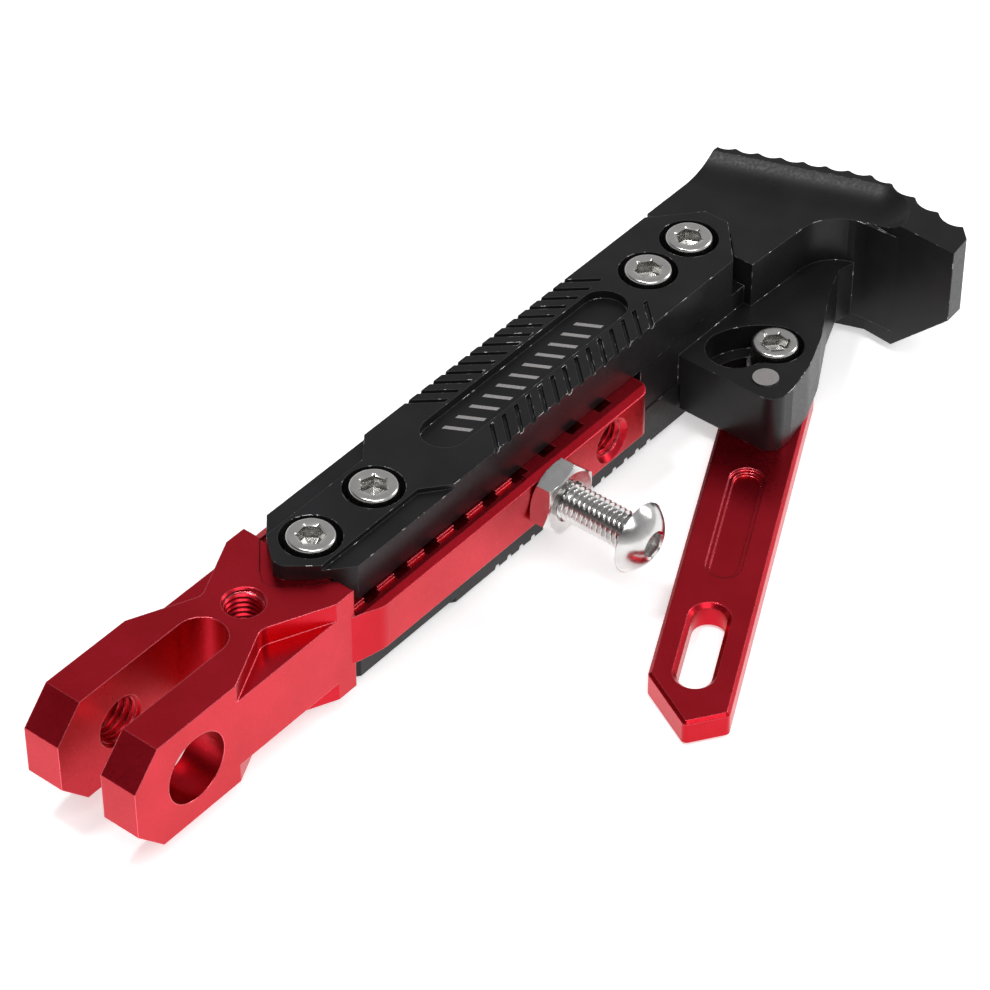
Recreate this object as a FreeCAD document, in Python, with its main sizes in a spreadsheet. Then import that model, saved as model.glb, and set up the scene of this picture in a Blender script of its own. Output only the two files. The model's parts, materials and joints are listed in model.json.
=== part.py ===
import FreeCAD, Part
import Sketcher
import math
import os
import re

doc = FreeCAD.newDocument("kickstand")
V = FreeCAD.Vector

# Every driving size in millimetres. x runs from the pivot bore to the foot,
# y across the stand, z square to the two cover plates.
SIZES = [
    # clevis and neck
    ("ear_front", 16.4), ("ear_bevel_start", 9.9), ("ear_bevel_height", 5.5),
    ("clevis_half_height", 12.5), ("clevis_half_width", 14.0), ("clevis_end", 45.0),
    ("fork_half", 5.4), ("fork_end", 17.2),
    ("pivot_radius", 7.6), ("pivot_thread_radius", 5.0),
    ("neck_start", 11.5), ("neck_mid", 25.8), ("neck_end", 40.0), ("neck_half", 7.4),
    ("neck_floor", 8.2), ("neck_round", 3.0),
    ("recess_tip", 36.0), ("recess_knee", 37.9), ("recess_knee_half", 3.6),
    ("recess_mouth_half", 9.9), ("recess_depth", 0.6),
    ("boss_radius", 6.8), ("boss_gap", 0.4),
    ("spring_hole_x", 29.4), ("thread_eight_radius", 4.0), ("hole_bevel", 0.4),
    ("thread_bevel", 0.6),
    # rack bar
    ("bar_half_width", 16.4), ("bar_half_height", 6.0), ("bar_end", 135.0),
    ("flare_start", 44.0), ("flare_end", 51.0), ("flare_round", 6.0),
    ("bar_end_round", 2.8), ("bevel_width", 1.7), ("bevel_drop", 0.6),
    ("rack_first", 51.9), ("rack_pitch", 9.0), ("rack_slot_width", 4.0),
    ("rack_slot_half", 13.2), ("rack_slot_depth", 1.6), ("rack_slots", 9),
    ("ledge_start", 46.0), ("ledge_stop", 97.0), ("ledge_inner", 12.2),
    ("ledge_outer", 14.6), ("ledge_depth", 0.8),
    ("stop_hole_x", 102.3), ("spare_hole_x", 122.1), ("side_hole_depth", 11.8),
    ("spare_bevel", 1.0),
    # clearances
    ("slide_gap", 0.05), ("thread_gap", 0.05), ("shank_gap", 0.3),
    ("end_gap", 0.5), ("pocket_gap", 0.1), ("pin_gap", 0.04), ("arm_gap", 0.1),
    # length adjustment
    ("travel", 45.0),
    # cover plates
    ("cover_top", 15.7), ("cover_half", 11.6), ("cover_tip", 39.0), ("tip_half", 1.2),
    ("tip_knee", 43.9), ("tip_knee_half", 7.1),
    ("nose_round", 5.0), ("tip_round", 1.8), ("cover_shoulder", 49.1),
    ("cover_end_half", 3.0),
    ("band_top", 14.5), ("band_inner", 7.0), ("band_knee", 72.3), ("band_stop", 78.1),
    ("trough_start", 84.0), ("trough_stop", 145.0), ("trough_half", 5.0), ("trough_depth", 2.0),
    ("rib_first", 95.5), ("rib_pitch", 3.84), ("rib_depth", 0.8), ("rib_inner", 5.7),
    ("rib_run", 7.0), ("rib_count", 14), ("rib_lean_x", 0.67), ("rib_lean_y", 0.74),
    ("rib_groove", 2.0), ("rib_slope", 0.6),
    ("counterbore_radius", 6.3),
    # cover screws, washers and nuts
    ("near_screw_a", 48.8), ("near_screw_b", 67.4),
    ("six_radius", 3.0), ("six_head_radius", 5.0), ("six_head_height", 6.0),
    ("six_head_top", 16.44), ("six_socket_flats", 5.0),
    ("six_socket_depth", 3.2), ("six_length", 25.0),
    ("washer_radius", 5.8), ("washer_gap", 0.2), ("washer_thick", 1.0),
    ("six_nut_flats", 10.0), ("six_nut_height", 5.0), ("nut_bevel", 0.7),
    # foot: tongue, body and the lobe that carries the arm
    ("tongue_half", 11.4),
    ("body_half_height", 12.5), ("body_half_width", 14.4),
    ("near_start_y", 13.3), ("bay_y", 14.6), ("bay_round", 10.0),
    ("lobe_side_round", 14.0),
    ("lobe_top", 1.5), ("lobe_bottom", 12.5), ("lobe_inner", 8.4),
    ("lobe_low", 36.2), ("lobe_round", 3.5),
    ("lobe_b_y", 34.5), ("lobe_c_y", 30.9),
    ("lobe_d_y", 23.8), ("lobe_e_y", 20.7),
    # sole: scalloped tread, its raised rim and the blend behind the rim
    ("sole_half_height", 16.0), ("sole_wall_y", 32.0),
    ("sole_tip_y", 46.1), ("sole_end_y", 45.3),
    ("tread_y", 11.0),
    ("tread_step_x", 1.79), ("tread_step_y", 4.65),
    ("tread_knee_y", 22.0),
    ("toe_step_x", 1.17), ("toe_step_y", 6.77),
    ("scallop_radius", 3.5), ("scallop_out_x", 2.16), ("scallop_out_y", 0.83),
    ("wide_scallop_radius", 4.7), ("crest_round", 0.8), ("wide_out_x", 3.03), ("wide_out_y", 0.52),
    ("blend_radius", 14.0), ("blend_y", 22.8), ("blend_turn", 20.2),
    ("blend_length", 48.0), ("sole_drop_y", 32.0), ("sole_drop", 20.0),
    # kick arm, its pin and lock screw
    ("pin_y", 29.8), ("pin_radius", 2.75), ("pin_top", 1.8),
    ("pin_head_radius", 4.4), ("pin_head_height", 1.5), ("pin_seat", 1.8),
    ("pin_seat_gap", 0.3),
    ("lock_offset", 11.1), ("lock_head_top", 2.5), ("kidney_radius", 6.2),
    ("swing", 45.0), ("arm_angle", 26.4), ("lock_length", 15.0), ("seat_gap", 0.02),
    ("arm_thick", 6.2), ("arm_rear", 17.5), ("arm_left", 9.3), ("arm_right", 8.4),
    ("arm_knee", 76.6), ("arm_tip", 89.0), ("arm_tip_off", 0.2), ("arm_corner", 84.5),
    ("arm_bevel", 0.7), ("arm_round", 1.2), ("groove_start", 12.5), ("groove_stop", 46.7),
    ("groove_middle", 0.4), ("groove_half", 3.75), ("groove_depth", 1.3),
    ("groove_rim", 0.9), ("groove_rim_depth", 0.6),
    ("arm_slot_start", 55.0), ("arm_slot_stop", 78.3), ("arm_slot_half", 3.5),
    # stop screw and its lock nut
    ("stop_head_radius", 7.6), ("stop_head_height", 4.6), ("stop_dome_radius", 8.6),
    ("stop_length", 30.0), ("stop_stand", 21.9), ("stop_socket_flats", 5.0),
    ("stop_socket_depth", 2.6), ("stop_nut_flats", 14.0), ("stop_nut_height", 5.0),
    ("stop_nut_bevel", 0.9), ("stop_nut_turn", 15.0),
]

# Places along the foot and the covers' far ends, measured from the bar's end.
FROM_BAR_END = [
    ("far_shoulder", 33.8), ("cover_end", 43.5), ("far_screw_a", 19.9), ("far_screw_b", 33.9),
    ("tongue_start", 3.0), ("body_start", 38.5), ("bay_x", 64.6), ("lobe_front", 16.0),
    ("lobe_a_x", 22.3), ("lobe_b_x", 30.5), ("lobe_c_x", 39.5), ("lobe_d_x", 52.3),
    ("lobe_e_x", 60.0), ("pin_x", 21.4), ("sole_wall_x", 65.0), ("sole_tip_x", 64.2),
    ("sole_end_x", 70.1), ("tread_top_x", 63.6), ("tread_x", 65.35), ("tread_knee_x", 76.6),
    ("blend_x", 65.4),
]

# A hexagon's corners, and half a side, as shares of its size across flats.
SIZES += [("corner_share", 0.57735), ("side_share", 0.288675)]

sheet = doc.addObject("Spreadsheet::Sheet", "Sizes")
NUMBER = {}
for row, (word, number) in enumerate(SIZES + FROM_BAR_END):
    sheet.set("A%d" % (row + 1), word)
    sheet.set("B%d" % (row + 1), str(number))
    sheet.setAlias("B%d" % (row + 1), word)
    NUMBER[word] = number
for word, number in FROM_BAR_END:
    NUMBER[word] = NUMBER["bar_end"] + number
FAR_WORDS = {word for word, number in FROM_BAR_END}
doc.recompute()


def sheet_word(found):
    """A size's place in the sheet; the foot's places are counted on from the bar."""
    word = found.group(0)
    return "(Sizes.bar_end+Sizes.%s)" % word if word in FAR_WORDS else "Sizes." + word


def formula(text):
    """The sheet expression for a sum of products of named sizes."""
    return re.sub(r"[a-z][a-z_]*", sheet_word, text)


def value(text):
    """The number of a sum of products of named sizes."""
    total = 0.0
    for term in re.findall(r"[+-]?[^+-]+", text.replace(" ", "")):
        sign = -1.0 if term[0] == "-" else 1.0
        product = 1.0
        for factor in term.lstrip("+-").split("*"):
            product *= NUMBER[factor] if factor in NUMBER else float(factor)
        total += sign * product
    return total


def bind(thing, prop, text):
    thing.setExpression(prop, formula(text))


# ---------------------------------------------------------------- sketch helpers
def new_body(label):
    body = doc.addObject("PartDesign::Body", label)
    body.Label = label
    return body


def origin_part(body, role):
    for feature in body.Origin.OriginFeatures:
        if feature.Role == role:
            return feature


def new_sketch(body, role, lift="0"):
    """A sketch on one of the body's own origin planes, lifted along its normal."""
    sketch = body.newObject("Sketcher::SketchObject", "outline")
    sketch.AttachmentSupport = (origin_part(body, role), [""])
    sketch.MapMode = "FlatFace"
    sketch.AttachmentOffset = FreeCAD.Placement(V(0, 0, value(lift)), FreeCAD.Rotation())
    bind(sketch, "AttachmentOffset.Base.z", lift)
    return sketch


def pin_point(sketch, geo, end, across, up):
    """Hold one point of the sketch at two sheet sizes from the origin."""
    for kind, text in (("DistanceX", across), ("DistanceY", up)):
        number = sketch.addConstraint(
            Sketcher.Constraint(kind, -1, 1, geo, end, value(text)))
        bind(sketch, "Constraints[%d]" % number, text)


def polygon(sketch, points):
    """A closed run of straight lines through the named points."""
    first = sketch.GeometryCount
    count = len(points)
    for k in range(count):
        a = points[k]
        b = points[(k + 1) % count]
        sketch.addGeometry(Part.LineSegment(
            V(value(a[0]), value(a[1]), 0), V(value(b[0]), value(b[1]), 0)), False)
    for k in range(count):
        sketch.addConstraint(Sketcher.Constraint(
            "Coincident", first + k, 2, first + (k + 1) % count, 1))
    for k in range(count):
        pin_point(sketch, first + k, 1, points[k][0], points[k][1])


def circle(sketch, across, up, radius):
    geo = sketch.addGeometry(Part.Circle(
        V(value(across), value(up), 0), V(0, 0, 1), value(radius)), False)
    number = sketch.addConstraint(Sketcher.Constraint("Radius", geo, value(radius)))
    bind(sketch, "Constraints[%d]" % number, radius)
    pin_point(sketch, geo, 3, across, up)


def obround(sketch, start, stop, middle, radius):
    """Two half circles joined by straight sides, lying along the first axis."""
    a = V(value(start), value(middle), 0)
    b = V(value(stop), value(middle), 0)
    r = value(radius)
    up = V(0, r, 0)
    half = math.pi / 2
    left = sketch.addGeometry(Part.ArcOfCircle(Part.Circle(a, V(0, 0, 1), r), half, 3 * half),
                              False)
    low = sketch.addGeometry(Part.LineSegment(a - up, b - up), False)
    right = sketch.addGeometry(Part.ArcOfCircle(Part.Circle(b, V(0, 0, 1), r), -half, half),
                               False)
    top = sketch.addGeometry(Part.LineSegment(b + up, a + up), False)
    for one, one_end, two, two_end in ((left, 2, low, 1), (low, 2, right, 1),
                                       (right, 2, top, 1), (top, 2, left, 1)):
        sketch.addConstraint(Sketcher.Constraint("Tangent", one, one_end, two, two_end))
    sketch.addConstraint(Sketcher.Constraint("Equal", left, right))
    number = sketch.addConstraint(Sketcher.Constraint("Radius", left, r))
    bind(sketch, "Constraints[%d]" % number, radius)
    pin_point(sketch, left, 3, start, middle)
    pin_point(sketch, right, 3, stop, middle)


def pad(body, sketch, length, both=False, back=False):
    feature = body.newObject("PartDesign::Pad", "pad")
    feature.Profile = sketch
    feature.Length = value(length)
    bind(feature, "Length", length)
    feature.Midplane = both
    feature.Reversed = back
    body.Tip = feature
    doc.recompute()
    return feature


def pocket(body, sketch, length, both=False, back=False):
    """A pocket; what it takes away is checked by volume."""
    before = body.Shape.Volume
    feature = body.newObject("PartDesign::Pocket", "pocket")
    feature.Profile = sketch
    feature.Length = value(length)
    bind(feature, "Length", length)
    feature.Midplane = both
    feature.Reversed = back
    body.Tip = feature
    doc.recompute()
    if not body.Shape.Volume < before - 0.01:
        raise RuntimeError("a pocket in %s took nothing away" % body.Label)
    return feature


def edges_where(feature, test):
    names = []
    for number, edge in enumerate(feature.Shape.Edges):
        if test(edge):
            names.append("Edge%d" % (number + 1))
    return names


def upright_at(spots, reach=0.6):
    """Edges standing along z whose foot lies near one of the spots."""
    def test(edge):
        ends = [v.Point for v in edge.Vertexes]
        if len(ends) != 2 or abs(ends[0].x - ends[1].x) > 0.01:
            return False
        if abs(ends[0].y - ends[1].y) > 0.01 or abs(ends[0].z - ends[1].z) < 0.5:
            return False
        for across, up in spots:
            if abs(ends[0].x - across) < reach and abs(ends[0].y - up) < reach:
                return True
        return False
    return test


def fillet(body, feature, names, radius):
    made = body.newObject("PartDesign::Fillet", "fillet")
    made.Base = (feature, names)
    made.Radius = value(radius)
    bind(made, "Radius", radius)
    body.Tip = made
    doc.recompute()
    return made


def chamfer(body, feature, names, size):
    made = body.newObject("PartDesign::Chamfer", "bevel")
    made.Base = (feature, names)
    made.Size = value(size)
    bind(made, "Size", size)
    body.Tip = made
    doc.recompute()
    return made


# ------------------------------------------------------------- primitive helpers
def place(thing, across, along, up, axis=V(0, 0, 1), turn=0.0):
    thing.Placement = FreeCAD.Placement(V(value(across), value(along), value(up)),
                                        FreeCAD.Rotation(axis, turn))
    bind(thing, "Placement.Base.x", across)
    bind(thing, "Placement.Base.y", along)
    bind(thing, "Placement.Base.z", up)
    return thing


def rod(radius, height, across="0", along="0", up="0", axis=V(0, 0, 1), turn=0.0):
    thing = doc.addObject("Part::Cylinder", "rod")
    bind(thing, "Radius", radius)
    bind(thing, "Height", height)
    return place(thing, across, along, up, axis, turn)


def taper(low, high, height, across="0", along="0", up="0", axis=V(0, 0, 1), turn=0.0):
    thing = doc.addObject("Part::Cone", "taper")
    bind(thing, "Radius1", low)
    bind(thing, "Radius2", high)
    bind(thing, "Height", height)
    return place(thing, across, along, up, axis, turn)


def hexagon(flats, height, up="0"):
    """A six-sided prism from its size across flats."""
    thing = doc.addObject("Part::Prism", "hexagon")
    thing.Polygon = 6
    bind(thing, "Circumradius", "corner_share*" + flats)
    bind(thing, "Height", height)
    return place(thing, "0", "0", up)


def fuse(things):
    made = doc.addObject("Part::MultiFuse", "fused")
    made.Shapes = things
    return made


def cut(base, tool):
    made = doc.addObject("Part::Cut", "cut")
    made.Base = base
    made.Tool = tool
    return made


def common(things):
    made = doc.addObject("Part::MultiCommon", "common")
    made.Shapes = things
    return made


NODES = []


def node(thing, label):
    thing.Label = label
    NODES.append(thing)
    return thing


# ------------------------------------------------------------------------ rack bar
def make_rack_bar():
    """Fork, waisted neck and flat rack bar, milled from one block."""
    body = new_body("clevis_rack_bar")
    side = new_sketch(body, "XZ_Plane")
    polygon(side, [("-1*ear_front", "-1*ear_bevel_height"),
                   ("-1*ear_bevel_start", "-1*clevis_half_height"),
                   ("clevis_end", "-1*clevis_half_height"),
                   ("clevis_end", "clevis_half_height"),
                   ("-1*ear_bevel_start", "clevis_half_height"),
                   ("-1*ear_front", "ear_bevel_height")])
    pad(body, side, "2*clevis_half_width", both=True)

    plan = new_sketch(body, "XY_Plane")
    polygon(plan, [("neck_mid", "-1*neck_half"), ("flare_start", "-1*clevis_half_width"),
                   ("flare_end", "-1*bar_half_width"), ("bar_end", "-1*bar_half_width"),
                   ("bar_end", "bar_half_width"), ("flare_end", "bar_half_width"),
                   ("flare_start", "clevis_half_width"), ("neck_mid", "neck_half")])
    bar = pad(body, plan, "2*bar_half_height", both=True)
    flare = [(value("flare_end"), s * value("bar_half_width")) for s in (-1, 1)]
    bar = fillet(body, bar, edges_where(bar, upright_at(flare)), "flare_round")
    ends = [(value("bar_end"), s * value("bar_half_width")) for s in (-1, 1)]
    fillet(body, bar, edges_where(bar, upright_at(ends)), "bar_end_round")

    fork = new_sketch(body, "XY_Plane", "-2*clevis_half_height")
    obround(fork, "-2*ear_front", "fork_end", "0", "fork_half")
    pocket(body, fork, "4*clevis_half_height", back=True)

    # The V of the neck is cut from both faces and on both sides, leaving a web.
    for sign in ("", "-1*"):
        for flip in (False, True):
            level = "neck_floor" if not flip else "-1*neck_floor"
            wedge = new_sketch(body, "XY_Plane", level)
            polygon(wedge, [("neck_start", sign + "clevis_half_width"),
                            ("neck_mid", sign + "neck_half"),
                            ("neck_end", sign + "clevis_half_width"),
                            ("neck_mid", sign + "2*clevis_half_width")])
            pocket(body, wedge, "clevis_half_height", back=not flip)

    inner = [(value("neck_mid"), side * value("neck_half")) for side in (-1, 1)]
    fillet(body, body.Tip, edges_where(body.Tip, upright_at(inner, 0.3)), "neck_round")

    # Shallow recess for the cover noses, and a round relief for the first screw's boss.
    for flip in (False, True):
        level = "clevis_half_height-recess_depth"
        level = level if not flip else "recess_depth-clevis_half_height"
        seat = new_sketch(body, "XY_Plane", level)
        polygon(seat, [("recess_tip", "-0.3*recess_knee_half"),
                       ("recess_knee", "-1*recess_knee_half"),
                       ("clevis_end", "-1*recess_mouth_half"),
                       ("clevis_end+1", "-1*recess_mouth_half"),
                       ("clevis_end+1", "recess_mouth_half"),
                       ("clevis_end", "recess_mouth_half"),
                       ("recess_knee", "recess_knee_half"),
                       ("recess_tip", "0.3*recess_knee_half")])
        pocket(body, seat, "clevis_half_height", back=not flip)
        level = "bar_half_height" if not flip else "-1*bar_half_height"
        relief = new_sketch(body, "XY_Plane", level)
        circle(relief, "near_screw_a", "0", "boss_radius+boss_gap")
        pocket(body, relief, "clevis_half_height", back=not flip)

    # Near ear plain bore, far ear tapped bore.
    bore = new_sketch(body, "XZ_Plane")
    circle(bore, "0", "0", "pivot_radius")
    pocket(body, bore, "clevis_half_width+1", back=True)
    tapped = new_sketch(body, "XZ_Plane")
    circle(tapped, "0", "0", "pivot_thread_radius")
    pocket(body, tapped, "clevis_half_width+1")

    spring = new_sketch(body, "XY_Plane")
    circle(spring, "spring_hole_x", "0", "thread_eight_radius")
    pocket(body, spring, "3*clevis_half_height", both=True)

    # Two tapped holes in the near side of the bar.
    for spot in ("stop_hole_x", "spare_hole_x"):
        hole = new_sketch(body, "XZ_Plane", "bar_half_width-side_hole_depth")
        circle(hole, spot, "0", "thread_eight_radius+thread_gap")
        pocket(body, hole, "2*side_hole_depth", back=True)

    # Long slot the two near cover screws travel in.
    slot = new_sketch(body, "XY_Plane")
    obround(slot, "near_screw_a", "near_screw_b+travel", "0", "six_radius+shank_gap")
    pocket(body, slot, "3*bar_half_height", both=True)

    # Cross slots of the rack and the shallow side channels, both faces.
    for flip in (False, True):
        level = "bar_half_height-rack_slot_depth"
        level = level if not flip else "rack_slot_depth-bar_half_height"
        rack = new_sketch(body, "XY_Plane", level)
        for k in range(int(value("rack_slots"))):
            low = "rack_first+%d*rack_pitch-0.5*rack_slot_width" % k
            high = "rack_first+%d*rack_pitch+0.5*rack_slot_width" % k
            polygon(rack, [(low, "-1*rack_slot_half"), (high, "-1*rack_slot_half"),
                           (high, "rack_slot_half"), (low, "rack_slot_half")])
        pocket(body, rack, "2*rack_slot_depth", back=not flip)
        level = "bar_half_height-ledge_depth"
        level = level if not flip else "ledge_depth-bar_half_height"
        for sign in ("", "-1*"):
            ledge = new_sketch(body, "XY_Plane", level)
            middle = sign + "0.5*ledge_inner" + ("+" if sign == "" else "-") + "0.5*ledge_outer"
            obround(ledge, "ledge_start+0.5*ledge_outer-0.5*ledge_inner",
                    "ledge_stop-0.5*ledge_outer+0.5*ledge_inner", middle,
                    "0.5*ledge_outer-0.5*ledge_inner")
            pocket(body, ledge, "2*ledge_depth", back=not flip)

    # Long bevels on the four outer edges of the bar.
    for sign in ("", "-1*"):
        for up in ("", "-1*"):
            grow = "+" if up == "" else "-"
            wide = "+" if sign == "" else "-"
            bevel = new_sketch(body, "YZ_Plane", "clevis_end+0.5")
            polygon(bevel, [
                (sign + "bar_half_width" + ("-" if sign == "" else "+") + "bevel_width",
                 up + "bar_half_height"),
                (sign + "bar_half_width", up + "bar_half_height" +
                 ("-" if up == "" else "+") + "bevel_drop"),
                (sign + "bar_half_width" + wide + "bevel_width",
                 up + "bar_half_height" + ("-" if up == "" else "+") + "bevel_drop"),
                (sign + "bar_half_width" + wide + "bevel_width",
                 up + "bar_half_height" + grow + "bevel_width")])
            pocket(body, bevel, "bar_end", back=True)

    mouth = edges_where(body.Tip, lambda e: len(e.Vertexes) == 1 and abs(
        e.Vertexes[0].Y - value("fork_half")) < 0.01 and abs(
        e.BoundBox.XLength - 2 * value("pivot_thread_radius")) < 0.1)
    chamfer(body, body.Tip, mouth, "thread_bevel")
    spring_edges = edges_where(body.Tip, lambda e: len(e.Vertexes) == 1 and abs(
        e.Vertexes[0].Z) > value("clevis_half_height") - 0.01 and abs(
        e.BoundBox.XLength - 2 * value("thread_eight_radius")) < 0.1)
    chamfer(body, body.Tip, spring_edges, "hole_bevel")
    spare_edges = edges_where(body.Tip, lambda e: len(e.Vertexes) == 1 and abs(
        e.Vertexes[0].Y + value("bar_half_width")) < 0.01 and abs(
        e.BoundBox.Center.x - value("spare_hole_x")) < 0.5)
    chamfer(body, body.Tip, spare_edges, "spare_bevel")
    return node(body, "clevis_rack_bar")


make_rack_bar()


# --------------------------------------------------------------------- cover plates
def make_cover(label, nuts):
    """One cover plate, drawn face up; the lower one is turned over."""
    body = new_body(label)
    plan = new_sketch(body, "XY_Plane", "bar_half_height+slide_gap")
    polygon(plan, [("cover_tip", "-1*tip_half"), ("tip_knee", "-1*tip_knee_half"),
                   ("cover_shoulder", "-1*cover_half"), ("far_shoulder", "-1*cover_half"),
                   ("cover_end", "-1*cover_end_half"), ("cover_end", "cover_end_half"),
                   ("far_shoulder", "cover_half"), ("cover_shoulder", "cover_half"),
                   ("tip_knee", "tip_knee_half"), ("cover_tip", "tip_half")])
    made = pad(body, plan, "cover_top-bar_half_height-slide_gap")
    knees = [(value("tip_knee"), side * value("tip_knee_half")) for side in (-1, 1)]
    made = fillet(body, made, edges_where(made, upright_at(knees)), "nose_round")
    tips = [(value("cover_tip"), side * value("tip_half")) for side in (-1, 1)]
    fillet(body, made, edges_where(made, upright_at(tips)), "tip_round")

    # The nose is a thin lip over the fork block, with a round boss under the first screw.
    under = new_sketch(body, "XY_Plane", "clevis_half_height-recess_depth+pocket_gap")
    polygon(under, [("cover_tip-1", "-2*cover_half"), ("clevis_end+end_gap", "-2*cover_half"),
                    ("clevis_end+end_gap", "2*cover_half"), ("cover_tip-1", "2*cover_half")])
    pocket(body, under, "cover_top")
    boss = new_sketch(body, "XY_Plane", "bar_half_height+slide_gap")
    circle(boss, "near_screw_a", "0", "boss_radius")
    pad(body, boss, "band_top-bar_half_height-slide_gap")

    # Lower side bands beside the two near screws.
    for sign in ("", "-1*"):
        band = new_sketch(body, "XY_Plane", "band_top")
        polygon(band, [("cover_tip-2", sign + "band_inner"), ("band_knee", sign + "band_inner"),
                       ("band_stop", sign + "cover_half"), ("band_stop", sign + "2*cover_half"),
                       ("cover_tip-2", sign + "2*cover_half")])
        pocket(body, band, "cover_top", back=True)

    # Long trough with round ends.
    trough = new_sketch(body, "XY_Plane", "cover_top-trough_depth")
    obround(trough, "trough_start+trough_half", "trough_stop-trough_half", "0", "trough_half")
    pocket(body, trough, "2*trough_depth", back=True)

    # Slanting ribs each side of the trough, with a groove cut between each two.
    for way in (1.0, -1.0):
        lift = "rib_inner" if way > 0 else "-1*rib_inner"
        teeth = new_sketch(body, "XZ_Plane", lift)
        for k in range(int(value("rib_count"))):
            here = "rib_first+%d*rib_pitch" % k
            polygon(teeth, [(here, "cover_top+1"),
                            (here + "+rib_slope", "cover_top-rib_depth"),
                            (here + "+rib_groove-rib_slope", "cover_top-rib_depth"),
                            (here + "+rib_groove", "cover_top+1")])
        before = body.Shape.Volume
        made = body.newObject("PartDesign::Pocket", "ribs")
        made.Profile = teeth
        made.UseCustomVector = True
        made.Direction = V(-value("rib_lean_x"), -way * value("rib_lean_y"), 0.0)
        made.Length = value("rib_run")
        bind(made, "Length", "rib_run")
        body.Tip = made
        doc.recompute()
        if not body.Shape.Volume < before - 50.0:
            raise RuntimeError("the ribs of %s took nothing away" % label)

    # Screw holes, with round seats for heads or six-sided seats for nuts.
    holes = new_sketch(body, "XY_Plane")
    for spot in ("near_screw_a", "near_screw_b", "far_screw_a", "far_screw_b"):
        circle(holes, spot, "0", "six_radius+shank_gap")
    pocket(body, holes, "2*cover_top", back=True)
    seats = new_sketch(body, "XY_Plane", "six_head_top-six_head_height-washer_thick")
    for spot in ("near_screw_a", "near_screw_b", "far_screw_a", "far_screw_b"):
        if not nuts:
            circle(seats, spot, "0", "counterbore_radius")
            continue
        wide = "corner_share*six_nut_flats+2*corner_share*pocket_gap"
        flat = "0.5*six_nut_flats+pocket_gap"
        half = "side_share*six_nut_flats+2*side_share*pocket_gap"
        polygon(seats, [(spot + "+" + wide, "0"), (spot + "+" + half, flat),
                        (spot + "-" + half.replace("+", "-"), flat),
                        (spot + "-" + wide.replace("+", "-"), "0"),
                        (spot + "-" + half.replace("+", "-"),
                         "-1*" + flat.replace("+", "-")),
                        (spot + "+" + half, "-1*" + flat.replace("+", "-"))])
    pocket(body, seats, "cover_top", back=True)
    return node(body, label)


make_cover("upper_cover", False)
lower = make_cover("lower_cover", True)
lower.Placement = FreeCAD.Placement(V(0, 0, 0), FreeCAD.Rotation(V(1, 0, 0), 180.0))
doc.recompute()


# ----------------------------------------------------------------------------- foot
def swept_slot(radius, bottom, height):
    """A slot that follows the lock screw's path about the pin, as a cutting tool."""
    band = rod("lock_offset+" + radius, height)
    bind(band, "Angle", "swing")
    hub = rod("lock_offset-" + radius.replace("+", "-"), height)
    ring = cut(band, hub)
    start = rod(radius, height, "lock_offset")
    stop = rod(radius, height)
    stop.setExpression("Placement.Base.x", "Sizes.lock_offset*cos(Sizes.swing*1deg)")
    stop.setExpression("Placement.Base.y", "Sizes.lock_offset*sin(Sizes.swing*1deg)")
    tool = fuse([ring, start, stop])
    place(tool, "pin_x", "-1*pin_y", bottom, turn=value("arm_angle"))
    bind(tool, "Placement.Rotation.Angle", "arm_angle")
    return tool


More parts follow.
